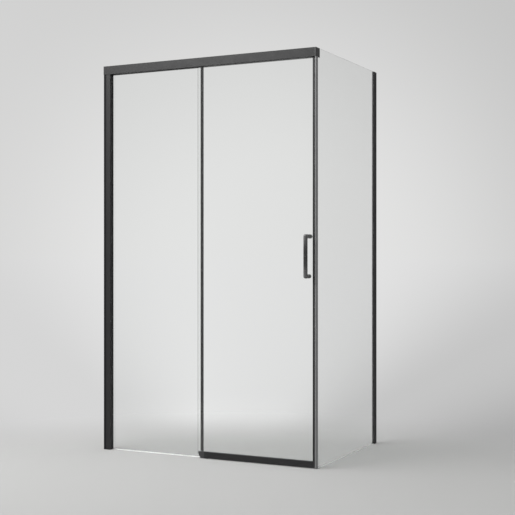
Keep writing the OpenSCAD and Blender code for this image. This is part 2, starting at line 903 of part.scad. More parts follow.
module door_bottom_right_cap() {
    tongue = 8;
    color("#262627") from_front() {
        along_x(bar_right, closing_right) soft_rect(
            [door_plane - bottom_d / 2, bottom_gap],
            [door_plane + bottom_d / 2, bottom_top],
            bottom_edge_r
        );
        along_x(bar_right - tongue, bar_right + EPS) bottom_chambers(plug_gap);
    }
}

module door_closing_profile() {
    color("#3a3a3c") from_front() translate([0, 0, bottom_top]) linear_extrude(jaw_bottom - bottom_top)
        difference() {
            soft_rect(
                [closing_right - closing_w, door_plane - closing_d / 2],
                [closing_right, door_plane + closing_d / 2],
                profile_edge_r / 2
            );
            rect([closing_right - closing_w - CUT, door_front], [door_right, door_back]);
        }
}

module door_magnet_strip() {
    color("#1d1d1f") from_front() block(
        [closing_right, door_plane - magnet_w / 2, bottom_top],
        [closing_right + magnet_t, door_plane + magnet_w / 2, magnet_top]
    );
}

// Carriages: a saddle on the top edge of the glass, with two axles each

module carriage(c) {
    front = door_plane - carriage_w / 2;
    back = door_plane + carriage_w / 2;
    top = wheel_z + carriage_over;
    half = carriage_len / 2;
    slope = carriage_slope;
    color("#9b9da0") from_front() difference() {
        translate([c, back, 0]) rotate([90, 0, 0]) linear_extrude(carriage_w) polygon([
            [-half, jaw_bottom],
            [half, jaw_bottom],
            [half, top - slope],
            [half - slope, top],
            [slope - half, top],
            [-half, top - slope]
        ]);
        block([c - half - CUT, door_front, jaw_bottom - CUT], [c + half + CUT, door_back, door_top]);
        for (side = [-1, 1]) {
            pin_y(c + side * axle_spacing / 2, front - CUT, back + CUT, wheel_z, bush_r);
            translate([c + side * clamp_spacing / 2, 0, 0]) clamp_screw(fit_gap);
        }
    }
}

// A countersunk screw through both jaws, grown by a gap for its hole
module clamp_screw(gap) {
    front = door_plane - carriage_w / 2;
    back = door_plane + carriage_w / 2;
    pin_y(0, front, back, clamp_z, clamp_screw_r + gap);
    translate([0, front, clamp_z]) rotate([-90, 0, 0])
        cylinder(h = clamp_head_t, r1 = clamp_head_r + gap, r2 = clamp_screw_r + gap);
}

module left_carriage() {
    carriage(carriage_x[0]);
}

module right_carriage() {
    carriage(carriage_x[1]);
}

module carriage_screws() {
    color("#8d8f92") from_front() for (c = carriage_x, side = [-1, 1]) {
        translate([c + side * clamp_spacing / 2, 0, 0]) clamp_screw(0);
    }
}

// A round tube along Y, from one depth to another
module tube_y(x, y0, y1, z, outer, inner) {
    difference() {
        pin_y(x, y0, y1, z, outer);
        pin_y(x, y0 - CUT, y1 + CUT, z, inner);
    }
}

module glass_bushes() {
    color("#e8e6df") from_front() {
        for (c = carriage_x, side = [-1, 1]) {
            tube_y(
                c + side * clamp_spacing / 2, door_front, door_back, clamp_z,
                glass_hole_r - fit_gap, clamp_screw_r + fit_gap
            );
        }
        for (side = [-1, 1]) {
            tube_y(
                handle_x, door_front, door_back, handle_z + side * handle_rise,
                handle_hole_r - fit_gap, stud_r + fit_gap
            );
        }
    }
}

module axle_bushes() {
    front = door_plane - carriage_w / 2;
    back = door_plane + carriage_w / 2;
    bore = axle_r + fit_gap;
    color("#e8e6df") from_front() for (x = axle_x) {
        tube_y(x, front, front + bush_len, wheel_z, bush_r - EPS, bore);
        tube_y(x, front - bush_flange_t, front, wheel_z, bush_r + bush_flange, bore);
        tube_y(x, back - bush_len, back, wheel_z, bush_r - EPS, bore);
        tube_y(x, back, back + bush_flange_t, wheel_z, bush_r + bush_flange, bore);
    }
}

// Rollers: two grooved wheels pressed on the ends of one axle

module wheel(x, middle) {
    groove_half = bead_w / 2 + groove_gap;
    half = wheel_w / 2;
    translate([x, middle, wheel_z]) rotate([-90, 0, 0]) rotate_extrude() polygon([
        [axle_r, -half],
        [wheel_r + wheel_rim, -half],
        [wheel_r + wheel_rim, -groove_half],
        [wheel_r, -groove_half],
        [wheel_r, groove_half],
        [wheel_r + wheel_rim, groove_half],
        [wheel_r + wheel_rim, half],
        [axle_r, half]
    ]);
}

module roller_wheels(i) {
    color("#d9d7d0") from_front() {
        wheel(axle_x[i], wheel_mid);
        wheel(axle_x[i], 2 * door_plane - wheel_mid);
    }
}

module roller_axle(i) {
    end = rail_wall + wheel_side_gap;
    color("#b5b7ba") from_front() pin_y(axle_x[i], end, 2 * door_plane - end, wheel_z, axle_r);
}

// Handle: a round bar outside, between two feet with ball-shaped corners. The studs in its feet go
// through the glass into a knob, at the upper one, and a low cap, at the lower one.

module outer_handle() {
    grip = door_front - handle_out + handle_r;
    color("#39393b") from_front() translate([handle_x, 0, handle_z]) difference() {
        union() {
            translate([0, grip, -handle_rise]) cylinder(h = 2 * handle_rise, r = handle_r);
            for (side = [-1, 1]) {
                translate([0, grip, side * handle_rise]) sphere(handle_r);
                pin_y(0, grip, door_front - washer_t, side * handle_rise, handle_r);
            }
        }
        for (side = [-1, 1]) {
            pin_y(0, door_front - stud_reach - tip_gap, door_front, side * handle_rise, stud_r + fit_gap);
        }
    }
}

// A turned end on the inner side, with a rounded edge and a blind hole for its stud
module turned_end(rise, out) {
    flat = handle_r - knob_edge_r;
    color("#39393b") from_front() translate([handle_x, door_back, handle_z + rise]) rotate([-90, 0, 0])
        rotate_extrude() difference() {
            union() {
                rect([0, washer_t], [handle_r, out - knob_edge_r]);
                rect([0, washer_t], [flat, out]);
                translate([flat, out - knob_edge_r]) circle(knob_edge_r);
            }
            rect([0, 0], [stud_r + fit_gap, out - knob_floor]);
        }
}

module inner_knob() {
    turned_end(handle_rise, knob_out);
}

module inner_cap() {
    turned_end(-handle_rise, cap_out);
}

module handle_washers() {
    color("#1d1d1f") from_front() for (side = [-1, 1], y = [door_front - washer_t, door_back]) {
        tube_y(handle_x, y, y + washer_t, handle_z + side * handle_rise, washer_r, stud_r + fit_gap);
    }
}

module handle_stud(rise, out) {
    pin_y(
        handle_x, door_front - stud_reach, door_back + out - knob_floor - stud_end_gap,
        handle_z + rise, stud_r
    );
}

module handle_studs() {
    color("#8d8f92") from_front() {
        handle_stud(handle_rise, knob_out);
        handle_stud(-handle_rise, cap_out);
    }
}

front_wall_channel();
front_wall_profile();
front_profile_gasket();
front_profile_screws();
door_buffer();
top_rail();
rail_wall_cap();
rail_end_screws();
rail_clamp_block();
rail_clamp_screw();
front_profile_plug();
rail_gasket();
rail_cover_strip();
track_stops();
track_stop_pads();
track_stop_screws();
corner_connector();
corner_post();
post_magnet_strip();
fixed_glass();
fixed_edge_strip();
overlap_lip_seal();
fixed_floor_seal();
side_glass();
side_floor_seal();
side_notch_gasket();
side_wall_channel();
side_wall_profile();
side_profile_gasket();
side_profile_screws();
floor_guide();
door_glass();
door_bottom_profile();
door_bottom_gasket();
door_bottom_end_cap();
door_bottom_right_cap();
door_closing_profile();
door_magnet_strip();
left_carriage();
right_carriage();
carriage_screws();
glass_bushes();
axle_bushes();
outer_handle();
inner_knob();
inner_cap();
handle_washers();
handle_studs();
roller_wheels(0);  // roller_1_wheels
roller_axle(0);  // roller_1_axle
roller_wheels(1);  // roller_2_wheels
roller_axle(1);  // roller_2_axle
roller_wheels(2);  // roller_3_wheels
roller_axle(2);  // roller_3_axle
roller_wheels(3);  // roller_4_wheels
roller_axle(3);  // roller_4_axle
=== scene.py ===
# A corner shower enclosure: a glass door that slides on a box rail, a fixed panel beside it and a glass
# side panel. The extrusions are satin black, the glass is clear. Everything is in metres, in the frame
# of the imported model: X along the front, Y towards the back wall, Z up.

import itertools
import math

import bmesh
import bpy
from mathutils import Matrix, Vector


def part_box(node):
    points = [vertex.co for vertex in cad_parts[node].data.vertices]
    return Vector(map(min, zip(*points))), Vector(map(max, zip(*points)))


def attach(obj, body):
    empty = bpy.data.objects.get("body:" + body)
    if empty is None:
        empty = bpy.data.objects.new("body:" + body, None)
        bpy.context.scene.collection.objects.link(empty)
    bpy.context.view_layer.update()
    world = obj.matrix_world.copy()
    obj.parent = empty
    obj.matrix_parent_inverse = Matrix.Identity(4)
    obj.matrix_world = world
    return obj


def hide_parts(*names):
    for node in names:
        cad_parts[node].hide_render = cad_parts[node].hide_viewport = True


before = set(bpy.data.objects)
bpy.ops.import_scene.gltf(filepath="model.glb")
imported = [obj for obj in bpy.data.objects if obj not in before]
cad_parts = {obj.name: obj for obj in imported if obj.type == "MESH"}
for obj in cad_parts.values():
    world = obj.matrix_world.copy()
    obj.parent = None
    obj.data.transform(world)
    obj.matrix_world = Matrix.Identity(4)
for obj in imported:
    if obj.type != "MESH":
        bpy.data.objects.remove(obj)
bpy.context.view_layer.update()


# Wall channels and wall profiles: aluminium extrusions. A recessed channel is screwed to each wall, and
# a wider profile slides over it and takes up a wall that isn't plumb. Both are powder coated. Their
# finish, like every other one on the object but the glass's, starts from a grain that lies on the piece.

# A noise hardly leaves this range
GRAIN_LOW, GRAIN_HIGH = 0.3, 0.7
# Places of the colour sockets of a Mix node
MIX_DARK, MIX_LIGHT, MIX_RESULT = 6, 7, 2
# How far the roughness of a coat drifts to both sides of its mean
COAT_DRIFT = 0.04


def grain(material, scale, detail=2.0):
    """A noise that lies on the piece's own place, its features about 1 / scale metres across."""
    nodes, links = material.node_tree.nodes, material.node_tree.links
    place = nodes.new("ShaderNodeTexCoord")
    noise = nodes.new("ShaderNodeTexNoise")
    noise.inputs["Scale"].default_value = scale
    noise.inputs["Detail"].default_value = detail
    links.new(place.outputs["Object"], noise.inputs["Vector"])
    return noise.outputs["Fac"]


def vary_roughness(material, pattern, low, high):
    """Lets the roughness follow a grain."""
    nodes, links = material.node_tree.nodes, material.node_tree.links
    spread = nodes.new("ShaderNodeMapRange")
    spread.inputs["From Min"].default_value = GRAIN_LOW
    spread.inputs["From Max"].default_value = GRAIN_HIGH
    spread.inputs["To Min"].default_value = low
    spread.inputs["To Max"].default_value = high
    links.new(pattern, spread.inputs["Value"])
    links.new(spread.outputs["Result"], nodes["Principled BSDF"].inputs["Roughness"])


def shade(material, pattern, colour, change):
    """Lets the colour wander a little to both sides of its mean."""
    nodes, links = material.node_tree.nodes, material.node_tree.links
    blend = nodes.new("ShaderNodeMix")
    blend.data_type = "RGBA"
    blend.inputs[MIX_DARK].default_value = [c * (1 - change) for c in colour] + [1]
    blend.inputs[MIX_LIGHT].default_value = [c * (1 + change) for c in colour] + [1]
    links.new(pattern, blend.inputs[0])
    links.new(blend.outputs[MIX_RESULT], nodes["Principled BSDF"].inputs["Base Color"])


def relief(material, pattern, depth):
    """Raises a grain off the surface, by a depth in metres."""
    nodes, links = material.node_tree.nodes, material.node_tree.links
    bump = nodes.new("ShaderNodeBump")
    bump.inputs["Distance"].default_value = depth
    links.new(pattern, bump.inputs["Height"])
    links.new(bump.outputs["Normal"], nodes["Principled BSDF"].inputs["Normal"])


def new_finish(name, **sockets):
    """A material whose even numbers are set on the shader's own sockets, with _ for a space."""
    material = bpy.data.materials.new(name)
    material.use_nodes = True
    shader = material.node_tree.nodes["Principled BSDF"]
    for socket, value in sockets.items():
        shader.inputs[socket.replace("_", " ")].default_value = value
    return material


def powder_coat(name, colour, roughness, specular=0.5):
    """Baked powder paint: a fine orange peel, and a gloss that drifts slowly along the bar."""
    material = new_finish(name, Specular_IOR_Level=specular)
    shade(material, grain(material, scale=4.0), colour, change=0.12)
    gloss = grain(material, scale=22.0, detail=3.0)
    vary_roughness(material, gloss, low=roughness - COAT_DRIFT, high=roughness + COAT_DRIFT)
    relief(material, grain(material, scale=650.0), depth=0.00004)
    return material


def dress(material, *names):
    """Gives CAD nodes their finish."""
    for name in names:
        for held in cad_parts[name].material_slots:
            held.material = material


satin_black = powder_coat("satin_black_coat", (0.010, 0.010, 0.0105), roughness=0.50, specular=0.40)
dull_black = powder_coat("dull_black_coat", (0.014, 0.014, 0.015), roughness=0.60, specular=0.30)
channel_black = powder_coat("channel_black_coat", (0.010, 0.010, 0.011), roughness=0.65, specular=0.08)
dress(satin_black, "front_wall_profile")
dress(dull_black, "side_wall_profile")
dress(channel_black, "front_wall_channel", "side_wall_channel")


# Profile screws: stainless pan heads with a cross recess. They go sideways through a profile into its
# channel, and through the back of the rail into the plugs of its end pieces. All are turned from one
# shape: a spun head and shank, with the recess pushed into the top.

HEAD_R = 0.004
HEAD_H = 0.0022
HEAD_EDGE_H = 0.0008
HEAD_FLAT_R = 0.0026
SHANK_R = 0.00175
SHANK_LEN = 0.008
HEAD_ARC_STEPS = 4
RECESS_R = 0.0021
RECESS_DEPTH = 0.0012
# Size of the recess at its floor, as a share of its size at the top
RECESS_TAPER = 0.7
# The arms of the cross are as wide as one step of the spin to both sides
HEAD_STEPS = 24
# Corners that lie closer together than this are one
SAME_PLACE = 1e-6
# Stands for zero where a length is divided by it
ALMOST_ZERO = 1e-9


def is_edge(part):
    """Tells an edge from the other parts of a bmesh."""
    return isinstance(part, bmesh.types.BMEdge)


def is_corner(part):
    """Tells a corner from the other parts of a bmesh."""
    return isinstance(part, bmesh.types.BMVert)


def finish_mesh(name, bm, material, smooth_below=40):
    """Turns a bmesh into an object whose edges are smooth below an angle in degrees, or flat at 0."""
    bmesh.ops.remove_doubles(bm, verts=bm.verts, dist=SAME_PLACE)
    bmesh.ops.recalc_face_normals(bm, faces=bm.faces)
    mesh = bpy.data.meshes.new(name)
    bm.to_mesh(mesh)
    bm.free()
    for face in mesh.polygons:
        face.use_smooth = smooth_below > 0
    mesh.set_sharp_from_angle(angle=math.radians(smooth_below))
    mesh.materials.append(material)
    piece = bpy.data.objects.new(name, mesh)
    bpy.context.scene.collection.objects.link(piece)
    return piece


def stand_in(piece, node, body):
    """Puts a piece on its body, in place of a CAD node."""
    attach(piece, body)
    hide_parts(node)


def spin_profile(bm, profile, steps):
    """Turns a chain of (radius, height) points once round Z."""
    chain = [bm.verts.new((radius, 0, height)) for radius, height in profile]
    edges = [bm.edges.new(pair) for pair in zip(chain, chain[1:])]
    bmesh.ops.spin(
        bm, geom=chain + edges, cent=(0, 0, 0), axis=(0, 0, 1),
        angle=math.radians(360), steps=steps, use_merge=True,
    )
    bmesh.ops.remove_doubles(bm, verts=bm.verts, dist=SAME_PLACE)


def quarter_round(flat, radius, low, high, steps):
    """Points of a quarter of an ellipse, from the side of a head to its flat top."""
    turns = [math.radians(90) * i / steps for i in range(steps + 1)]
    return [
        (flat + (radius - flat) * math.cos(turn), low + (high - low) * math.sin(turn))
        for turn in turns
    ]


def cross_reach(angle):
    """Distance from the middle of the recess to its cross-shaped outline."""
    along, across = abs(math.cos(angle)), abs(math.sin(angle))
    half_width = RECESS_R * math.tan(math.radians(360 / HEAD_STEPS))
    arms = ((along, across), (across, along))
    return max(
        min(RECESS_R / max(a, ALMOST_ZERO), half_width / max(b, ALMOST_ZERO)) for a, b in arms
    )


def screw_mesh():
    """One screw with its seat at the origin and its head along +Z."""
    bm = bmesh.new()
    head = quarter_round(HEAD_FLAT_R, HEAD_R, HEAD_EDGE_H, HEAD_H, HEAD_ARC_STEPS)
    shank = [(0, -SHANK_LEN), (SHANK_R, -SHANK_LEN), (SHANK_R, 0), (HEAD_R, 0)]
    spin_profile(bm, shank + head, HEAD_STEPS)
    rim = [e for e in bm.edges if e.is_boundary]
    grown = bmesh.ops.extrude_edge_only(bm, edges=rim)["geom"]
    for corner in filter(is_corner, grown):
        angle = math.atan2(corner.co.y, corner.co.x)
        corner.co.xy = Vector((math.cos(angle), math.sin(angle))) * cross_reach(angle)
    rim = [e for e in filter(is_edge, grown) if e.is_boundary]
    grown = bmesh.ops.extrude_edge_only(bm, edges=rim)["geom"]
    floor_corners = list(filter(is_corner, grown))
    bmesh.ops.scale(bm, vec=(RECESS_TAPER, RECESS_TAPER, 1), verts=floor_corners)
    bmesh.ops.translate(bm, vec=(0, 0, -RECESS_DEPTH), verts=floor_corners)
    bmesh.ops.holes_fill(bm, edges=[e for e in bm.edges if e.is_boundary])
    mesh = bpy.data.meshes.new("screw_shape")
    bm.to_mesh(mesh)
    bm.free()
    return mesh


def screw_seats(node, outward, counts):
    """The seats of a grid of screws, read from the box of their CAD node."""
    rows = []
    for low, high, way, count in zip(*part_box(node), outward, counts):
        if way:
            rows.append([high - HEAD_H if way > 0 else low + HEAD_H])
        elif count == 1:
            rows.append([(low + high) / 2])
        else:
            first, last = low + HEAD_R, high - HEAD_R
            rows.append([first + (last - first) * i / (count - 1) for i in range(count)])
    return itertools.product(*rows)


def set_screws(name, node, outward, counts):
    """Screws in a grid, with their heads outward, in place of the plain ones of a CAD node."""
    bm = bmesh.new()
    turn = Vector((0, 0, 1)).rotation_difference(Vector(outward)).to_matrix().to_4x4()
    for seat in screw_seats(node, outward, counts):
        before = len(bm.verts)
        bm.from_mesh(one_screw)
        bm.verts.ensure_lookup_table()
        bmesh.ops.transform(bm, matrix=Matrix.Translation(seat) @ turn, verts=bm.verts[before:])
    stand_in(finish_mesh(name, bm, stainless), node, "frame")


stainless = new_finish("stainless_steel", Metallic=1.0)
shade(stainless, grain(stainless, scale=120.0), (0.56, 0.56, 0.57), change=0.08)
vary_roughness(stainless, grain(stainless, scale=900.0, detail=3.0), low=0.24, high=0.36)

one_screw = screw_mesh()
set_screws("front_profile_pan_heads", "front_profile_screws", outward=(0, 1, 0), counts=(1, 1, 3))
set_screws("side_profile_pan_heads", "side_profile_screws", outward=(-1, 0, 0), counts=(1, 1, 3))
set_screws("rail_end_pan_heads", "rail_end_screws", outward=(0, 1, 0), counts=(2, 1, 2))


# Glazing gaskets: black rubber strips pushed in beside the fixed pane and the side pane, in the wall
# profiles, in the rail's pocket and in the notch of the side pane. The rubber is dull with a fine skin.

black_rubber = new_finish("black_rubber")
shade(black_rubber, grain(black_rubber, scale=15.0), (0.020, 0.020, 0.020), change=0.2)
vary_roughness(black_rubber, grain(black_rubber, scale=60.0), low=0.62, high=0.75)
relief(black_rubber, grain(black_rubber, scale=1500.0), depth=0.00003)
dress(
    black_rubber, "front_profile_gasket", "side_profile_gasket", "rail_gasket", "side_notch_gasket",
)


# Top rail: one extruded box with two running beads in its front chamber and a pocket for the fixed pane.
# It lies on the front wall profile and the corner post, a cap closes its wall end, and a moulded
# connector with a tenon joins it to the post. The connector's outer end has softly rounded edges.

CONNECTOR_EDGE = 0.003
CONNECTOR_EDGE_STEPS = 5
# Triangles that lie flat to each other within this angle, in degrees, are one face
FLAT_WITHIN = 1
# How far the roughness of the plastic drifts to both sides of its mean
PLASTIC_DRIFT = 0.05


def moulded_plastic(name, colour, roughness):
    """Injection moulded plastic with a fine spark-eroded grain."""
    material = new_finish(name)
    shade(material, grain(material, scale=8.0), colour, change=0.08)
    gloss = grain(material, scale=40.0)
    vary_roughness(material, gloss, low=roughness - PLASTIC_DRIFT, high=roughness + PLASTIC_DRIFT)
    relief(material, grain(material, scale=1100.0, detail=3.0), depth=0.00005)
    return material


def from_node(node):
    """A copy of a CAD node's mesh, with its loose triangles joined to flat faces."""
    bm = bmesh.new()
    bm.from_mesh(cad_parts[node].data)
    bmesh.ops.remove_doubles(bm, verts=bm.verts, dist=SAME_PLACE)
    bmesh.ops.dissolve_limit(bm, angle_limit=math.radians(FLAT_WITHIN), verts=bm.verts, edges=bm.edges)
    return bm


def soft_connector(name, node):
    """The connector of a CAD node, with its outer end drawn out in steps along a quarter circle."""
    low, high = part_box(node)
    size = high - low
    bm = from_node(node)
    end = max(bm.faces, key=lambda face: face.calc_center_median().x)
    end_z = [corner.co.z for corner in end.verts]
    middle_z = (min(end_z) + max(end_z)) / 2
    height = max(end_z) - min(end_z)
    to_middle = Matrix.Translation((0, -(low.y + high.y) / 2, -middle_z))
    bmesh.ops.translate(bm, vec=(-CONNECTOR_EDGE, 0, 0), verts=end.verts)
    scale_before = (1, 1)
    for step in range(1, CONNECTOR_EDGE_STEPS + 1):
        turn = math.radians(90) * step / CONNECTOR_EDGE_STEPS
        inset = 2 * CONNECTOR_EDGE * (1 - math.cos(turn))
        scale = (1 - inset / size.y, 1 - inset / height)
        end = bmesh.ops.extrude_discrete_faces(bm, faces=[end])["faces"][0]
        bmesh.ops.scale(
            bm, vec=(1, scale[0] / scale_before[0], scale[1] / scale_before[1]),
            space=to_middle, verts=end.verts,
        )
        place_x = high.x - CONNECTOR_EDGE * (1 - math.sin(turn))
        bmesh.ops.translate(bm, vec=(place_x - end.verts[0].co.x, 0, 0), verts=end.verts)
        scale_before = scale
    stand_in(finish_mesh(name, bm, black_plastic), node, "frame")


black_plastic = moulded_plastic("moulded_black_plastic", (0.030, 0.030, 0.031), roughness=0.52)
dress(satin_black, "top_rail", "rail_cover_strip")
dress(black_plastic, "rail_wall_cap")
soft_connector("rounded_connector", "corner_connector")


# Fixings inside the rail: die-cast zinc blocks. One clamps the rail down on a plug in the front wall
# profile, and two track stops, jammed under the roof of the rail by a screw each, end the door's travel
# with rubber pads.

cast_zinc = new_finish("cast_zinc", Metallic=1.0)
shade(cast_zinc, grain(cast_zinc, scale=70.0, detail=4.0), (0.48, 0.48, 0.50), change=0.15)
vary_roughness(cast_zinc, grain(cast_zinc, scale=180.0, detail=3.0), low=0.42, high=0.58)
relief(cast_zinc, grain(cast_zinc, scale=500.0, detail=3.0), depth=0.00008)

pale_nylon = new_finish("pale_nylon")
shade(pale_nylon, grain(pale_nylon, scale=90.0), (0.78, 0.77, 0.73), change=0.03)
vary_roughness(pale_nylon, grain(pale_nylon, scale=300.0), low=0.38, high=0.48)

dress(cast_zinc, "rail_clamp_block", "track_stops")
dress(stainless, "rail_clamp_screw", "track_stop_screws")
dress(pale_nylon, "front_profile_plug")
dress(black_rubber, "track_stop_pads")


# Corner post: a slim extrusion on the front edge of the side pane, black like the other ones, its coat
# painted lighter as a painted sheen. A black magnet strip runs down the face that the door shuts against.

magnet_black = new_finish("bonded_magnet")
shade(magnet_black, grain(magnet_black, scale=300.0), (0.022, 0.022, 0.024), change=0.25)
vary_roughness(magnet_black, grain(magnet_black, scale=150.0), low=0.45, high=0.6)
# The post's black coat is painted a lighter grey: a painted sheen along the post.
post_painted_sheen_coat = powder_coat("post_painted_sheen_coat", (0.165, 0.165, 0.167), roughness=0.34)
dress(post_painted_sheen_coat, "corner_post")
dress(magnet_black, "post_magnet_strip")


# Panes: clear toughened glass, 6 mm thick. Each is the CAD pane with its sharp edges ground to a small
# polished arris. Rays from lamps go straight through, as they nearly do through a real pane.

ARRIS = 0.0006
ARRIS_STEPS = 2
# An edge is sharp where its faces turn by more than this angle in degrees
SHARP_ABOVE = 60
# Share of a lamp's light that falls through a clear piece
LIGHT_SHARE = 0.95


def clear_body(name, tint, roughness, clearness):
    """A clear material that bends and mirrors what is seen, and lets light fall through."""
    material = new_finish(
        name, Base_Color=(*tint, 1), Roughness=roughness, IOR=1.5, Transmission_Weight=clearness,
    )
    nodes, links = material.node_tree.nodes, material.node_tree.links
    rays = nodes.new("ShaderNodeLightPath")
    through = nodes.new("ShaderNodeBsdfTransparent")
    through.inputs["Color"].default_value = (*(LIGHT_SHARE * c for c in tint), 1)
    blend = nodes.new("ShaderNodeMixShader")
    links.new(rays.outputs["Is Shadow Ray"], blend.inputs[0])
    links.new(nodes["Principled BSDF"].outputs["BSDF"], blend.inputs[1])
    links.new(through.outputs["BSDF"], blend.inputs[2])
    links.new(blend.outputs["Shader"], nodes["Material Output"].inputs["Surface"])
    return material


def ground_pane(name, node, body):
    """The pane of a CAD node, with an arris along each sharp edge."""
    bm = from_node(node)
    sharp = [e for e in bm.edges if e.calc_face_angle(0) > math.radians(SHARP_ABOVE)]
    bmesh.ops.bevel(
        bm, geom=sharp, offset=ARRIS, segments=ARRIS_STEPS, profile=0.5, material=-1, affect="EDGES",
    )
    stand_in(finish_mesh(name, bm, pane_glass, smooth_below=0), node, body)


pane_glass = clear_body("clear_toughened_glass", (0.980, 0.988, 0.984), roughness=0.0, clearness=1.0)
ground_pane("fixed_pane", "fixed_glass", "frame")
ground_pane("side_pane", "side_glass", "frame")
ground_pane("door_pane", "door_glass", "door")


# Edge strip and lip seal: a slim black extrusion grips the free edge of the fixed pane, and a soft lip
# on it wipes the back of the door, so that no water runs out between the two panes.

dress(satin_black, "fixed_edge_strip")
dress(black_rubber, "overlap_lip_seal")


# Floor seals: translucent soft strips under the fixed pane and the side pane. Each is one extrusion with
# a flat seat under the glass, a waist, and two lips that spread on the floor.

SEAL_WAIST = 0.0011
SEAL_LIP_H = 0.0013
# How far the hollow between the lips reaches up, as a share of their height
SEAL_HOLLOW = 0.6
SEAL_SEAT_H = 0.0028


def floor_seal(name, node, along):
    """A seal as long as its CAD node, drawn out along X, which is axis 0, or along Y, which is 1."""
    low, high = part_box(node)
    across = 1 - along
    half = (high[across] - low[across]) / 2
    height = high.z - low.z
    side = [
        (half, 0),
        (half - SEAL_WAIST / 2, SEAL_LIP_H),
        (half - SEAL_WAIST, height / 2),
        (half - SEAL_WAIST / 2, SEAL_SEAT_H),
        (half, height),
    ]
    outline = side + [(-x, z) for x, z in reversed(side)] + [(0, SEAL_LIP_H * SEAL_HOLLOW)]
    bm = bmesh.new()
    middle = (low + high) / 2
    corners = []
    for offset, rise in outline:
        corner = Vector(middle)
        corner[along] = low[along]
        corner[across] += offset
        corner.z = low.z + rise
        corners.append(bm.verts.new(corner))
    end = bm.faces.new(corners)
    length = Vector((0, 0, 0))
    length[along] = high[along] - low[along]
    grown = bmesh.ops.extrude_face_region(bm, geom=[end])["geom"]
    bmesh.ops.translate(bm, vec=length, verts=list(filter(is_corner, grown)))
    stand_in(finish_mesh(name, bm, clear_seal, smooth_below=35), node, "frame")


clear_seal = clear_body("translucent_seal", (0.93, 0.935, 0.93), roughness=0.35, clearness=0.7)
shade(clear_seal, grain(clear_seal, scale=30.0), (0.92, 0.93, 0.925), change=0.03)
vary_roughness(clear_seal, grain(clear_seal, scale=90.0), low=0.3, high=0.42)
floor_seal("fixed_floor_lip", "fixed_floor_seal", along=0)
floor_seal("side_floor_lip", "side_floor_seal", along=1)


# Bottom of the door: the pane stands in a black extrusion with a rubber gasket on both sides. A moulded
# cap with a slanted nose closes its left end and a flat one its right end. The groove below runs over a
# moulded guide that is screwed to the floor.

dress(satin_black, "door_bottom_profile")
dress(black_rubber, "door_bottom_gasket")
dress(black_plastic, "door_bottom_end_cap", "door_bottom_right_cap", "floor_guide")


# Closing side of the door: a slim extrusion grips the pane's edge and carries the magnet strip that
# holds the door shut.

dress(satin_black, "door_closing_profile")
dress(magnet_black, "door_magnet_strip")


# Running gear: two die-cast carriages clamp the top edge of the door. Each holds two axles in nylon
# bushes, and a grooved nylon wheel is pressed on each end of an axle.

ROLLERS = range(1, 5)
dress(cast_zinc, "left_carriage", "right_carriage")
dress(stainless, "carriage_screws", *(f"roller_{i}_axle" for i in ROLLERS))
dress(pale_nylon, "glass_bushes", "axle_bushes", *(f"roller_{i}_wheels" for i in ROLLERS))


# Handle and knob: a coated round bar outside, which turns down from its feet over ball-shaped corners.
# Threaded studs in the feet go through the glass, between black washers, into a turned knob at the upper
# foot and a low turned cap at the lower one.

BAR_SIDES = 32
BALL_STEPS = 8
TURNED_EDGE = 0.0015
TURNED_ARC_STEPS = 5
TURNED_FLOOR = 0.001


def door_metal(name, bm, node):
    """Puts a coated piece on the door, in place of its CAD node."""
    stand_in(finish_mesh(name, bm, handle_painted_sheen_coat), node, "door")


def round_bar(name, node):
    """The handle bar in the box of its CAD node, with its feet at the back."""
    low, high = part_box(node)
    radius = (high.x - low.x) / 2
    ball = Vector(((low.x + high.x) / 2, low.y + radius, high.z - radius))
    bm = bmesh.new()
    ring = bmesh.ops.create_circle(bm, segments=BAR_SIDES, radius=radius)["verts"]
    foot = Matrix.Translation((ball.x, high.y, ball.z)) @ Matrix.Rotation(math.radians(90), 4, "X")
    bmesh.ops.transform(bm, matrix=foot, verts=ring)

    # Out to the corner, where the inner half of the ring is cut back to the mitre
    grown = bmesh.ops.extrude_edge_only(bm, edges=list(bm.edges))["geom"]
    for corner in filter(is_corner, grown):
        corner.co.y = ball.y + max(0, ball.z - corner.co.z)
    rim = [e for e in filter(is_edge, grown) if e.is_boundary]
    outer = [e for e in rim if (e.verts[0].co.z + e.verts[1].co.z) / 2 > ball.z]
    inner = [e for e in rim if e not in outer]

    # Over the ball, and down to the middle of the grip
    turned = bmesh.ops.spin(
        bm, geom=outer, cent=ball, axis=(1, 0, 0), angle=math.radians(90), steps=BALL_STEPS,
    )["geom_last"]
    middle_z = (low.z + high.z) / 2
    down = bmesh.ops.extrude_edge_only(bm, edges=inner + [e for e in turned if is_edge(e)])["geom"]
    for corner in filter(is_corner, down):
        corner.co.z = middle_z
    bmesh.ops.remove_doubles(bm, verts=bm.verts, dist=SAME_PLACE)
    bmesh.ops.mirror(
        bm, geom=list(bm.verts) + list(bm.edges) + list(bm.faces), axis="Z", merge_dist=SAME_PLACE,
        matrix=Matrix.Translation((0, 0, -middle_z)),
    )
    bmesh.ops.holes_fill(bm, edges=[e for e in bm.edges if e.is_boundary])
    door_metal(name, bm, node)


def turned_end(name, node):
    """A knob or cap in the box of its CAD node, with a rounded edge and a blind hole for its stud."""
    low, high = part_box(node)
    radius, length = (high.x - low.x) / 2, high.y - low.y
    stud_low, stud_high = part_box("handle_studs")
    bore = (stud_high.x - stud_low.x) / 2
    profile = [(0, length - TURNED_FLOOR), (bore, length - TURNED_FLOOR), (bore, 0), (radius, 0)]
    profile += quarter_round(radius - TURNED_EDGE, radius, length - TURNED_EDGE, length, TURNED_ARC_STEPS)
    bm = bmesh.new()
    spin_profile(bm, profile + [(0, length)], BAR_SIDES)
    middle = ((low.x + high.x) / 2, low.y, (low.z + high.z) / 2)
    inward = Matrix.Rotation(math.radians(-90), 4, "X")
    bmesh.ops.transform(bm, matrix=Matrix.Translation(middle) @ inward, verts=bm.verts)
    door_metal(name, bm, node)
